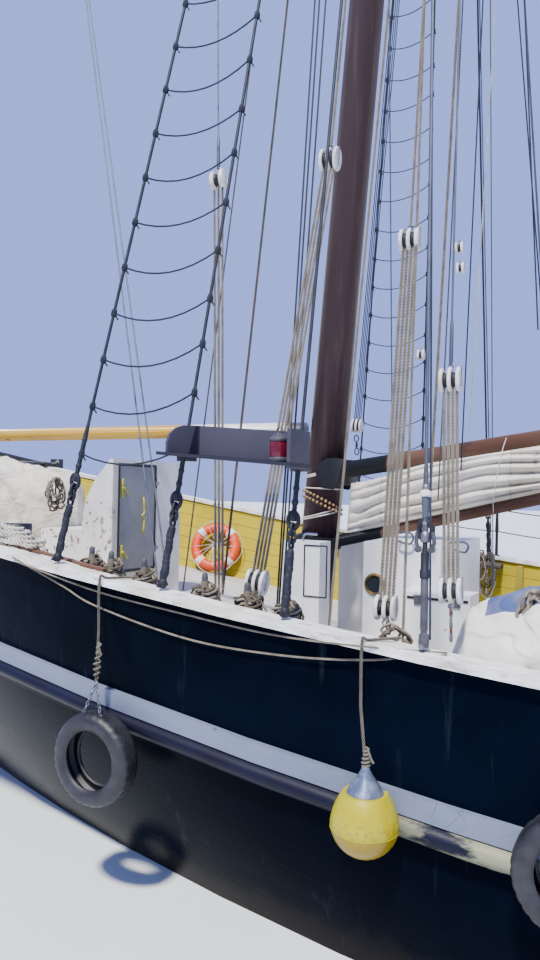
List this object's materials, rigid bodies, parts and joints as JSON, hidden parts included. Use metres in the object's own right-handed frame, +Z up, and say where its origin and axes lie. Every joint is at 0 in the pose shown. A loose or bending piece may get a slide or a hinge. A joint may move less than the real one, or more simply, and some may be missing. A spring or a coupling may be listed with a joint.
{
  "type": "two-masted gaff schooner",
  "caption": "Decked wooden sailing ship with raked masts, shrouds, furled gaff sails on swinging booms, deckhouses, windlass, fenders, wheel, rudder and propeller.",
  "frame": {"origin": "amidships on the centreline at the waterline", "axes": "+X towards the stern, +Y to starboard, +Z up"},
  "size_m": [32.2642, 6.4507, 27.8851],
  "materials": {
    "navy_paint": "glossy dark navy paint on planking",
    "white_paint": "white paint, dirty and chipped",
    "band_grey": "pale grey paint on the wale",
    "black_paint": "black paint",
    "grey_paint": "dark grey paint",
    "door_grey": "mid grey paint",
    "mast_red": "dark red-brown gloss paint on timber",
    "brown_wood": "varnished brown timber",
    "yellow_wood": "yellow varnished timber",
    "deck_wood": "weathered deck planking",
    "canvas": "cream sailcloth",
    "tarred_wire": "served and tarred wire rope",
    "steel": "galvanised steel",
    "bronze": "cast bronze",
    "tyre": "worn tyre rubber",
    "buoy_yellow": "yellow inflated vinyl",
    "orange": "orange lifebuoy cover"
  },
  "bodies": {
    "ship": {"hull": "navy_paint", "stern_frame": "navy_paint", "bulwark": "navy_paint", "deck": "deck_wood", "rail_cap": "white_paint", "wale_band": "band_grey", "rubbing_strake": "black_paint", "foremast": "mast_red", "fore_topmast": "mast_red", "mainmast": "mast_red", "main_topmast": "mast_red", "fore_shrouds": "tarred_wire", "main_shrouds": "tarred_wire", "main_backstays": "tarred_wire", "bowsprit": "yellow_wood", "bowsprit_bitts": "brown_wood", "forestay": "tarred_wire", "jib_stay": "tarred_wire", "outer_stay": "tarred_wire", "bobstay": "steel", "spring_stay": "tarred_wire", "furled_staysail": "canvas", "companion_hood": "white_paint", "fore_deckhouse": "white_paint", "mast_locker_port": "white_paint", "mast_locker_starboard": "white_paint", "hatch_coaming": "white_paint", "aft_deckhouse": "white_paint", "steering_box": "brown_wood", "windlass_frame": "brown_wood", "bollard_port": "black_paint", "bollard_starboard": "black_paint", "pin_rail_port": "brown_wood", "pin_rail_starboard": "brown_wood", "sidelight_port": "grey_paint", "sidelight_starboard": "grey_paint", "tyre_fender_fore": "tyre", "tyre_fender_aft": "tyre", "buoy_fender": "buoy_yellow", "lifebuoy": "orange", "canvas_bundle": "canvas", "anchor_port": "black_paint", "anchor_starboard": "black_paint"},
    "rudder": {"rudder": "black_paint"},
    "wheel": {"steering_wheel": "brown_wood"},
    "propeller": {"propeller": "bronze"},
    "fore_boom": {"fore_boom": "brown_wood", "fore_gaff": "brown_wood", "furled_foresail": "canvas"},
    "main_boom": {"main_boom": "brown_wood", "main_gaff": "brown_wood", "furled_mainsail": "canvas"},
    "staysail_boom": {"staysail_boom": "yellow_wood"},
    "companion_door": {"companion_door": "door_grey"},
    "hatch_lid_port": {"hatch_lid_port": "brown_wood"},
    "hatch_lid_starboard": {"hatch_lid_starboard": "brown_wood"},
    "cabin_door": {"aft_deckhouse_door": "brown_wood"},
    "windlass_drum": {"windlass_drum": "steel"}
  },
  "joints": [
    {"name": "rudder_turn", "type": "hinge", "parent": "ship", "child": "rudder", "pos_m": [10.16, 0, 0], "axis": [0, 0, 1], "range_deg": [-35, 35]},
    {"name": "wheel_turn", "type": "hinge", "parent": "ship", "child": "wheel", "pos_m": [10.79, 0, 2.02324], "axis": [1, 0, 0], "range_deg": [-350, 350]},
    {"name": "propeller_spin", "type": "hinge", "parent": "ship", "child": "propeller", "pos_m": [9.29, 0, -1.15], "axis": [1, 0, 0], "continuous": true},
    {"name": "fore_boom_swing", "type": "hinge", "parent": "ship", "child": "fore_boom", "pos_m": [-5, 0, 0.75], "axis": [0.0735, 0, 0.9973], "range_deg": [-50, 50]},
    {"name": "main_boom_swing", "type": "hinge", "parent": "ship", "child": "main_boom", "pos_m": [3.2, 0, 0.75], "axis": [0.0735, 0, 0.9973], "range_deg": [-38, 38]},
    {"name": "staysail_boom_swing", "type": "hinge", "parent": "ship", "child": "staysail_boom", "pos_m": [-11.05, 0, 3.41], "axis": [0, 0, 1], "range_deg": [-38, 38]},
    {"name": "companion_door_hinge", "type": "hinge", "parent": "ship", "child": "companion_door", "pos_m": [-6.985, 0.105, 2.4], "axis": [0, 0, 1], "range_deg": [0, 110]},
    {"name": "cabin_door_hinge", "type": "hinge", "parent": "ship", "child": "cabin_door", "pos_m": [8.952, 0.375, 1.6], "axis": [0, 0, 1], "range_deg": [0, 110]},
    {"name": "hatch_lid_port_hinge", "type": "hinge", "parent": "ship", "child": "hatch_lid_port", "pos_m": [0, -0.95, 1.30066], "axis": [1, 0, 0], "range_deg": [0, 95]},
    {"name": "hatch_lid_starboard_hinge", "type": "hinge", "parent": "ship", "child": "hatch_lid_starboard", "pos_m": [0, 0.95, 1.30066], "axis": [-1, 0, 0], "range_deg": [0, 95]},
    {"name": "windlass_turn", "type": "hinge", "parent": "ship", "child": "windlass_drum", "pos_m": [-10.9, 0, 2.8], "axis": [0, 1, 0], "continuous": true}
  ],
  "couplings": [
    {"joint": "wheel_turn", "follows": "rudder_turn", "ratio": 10}
  ]
}
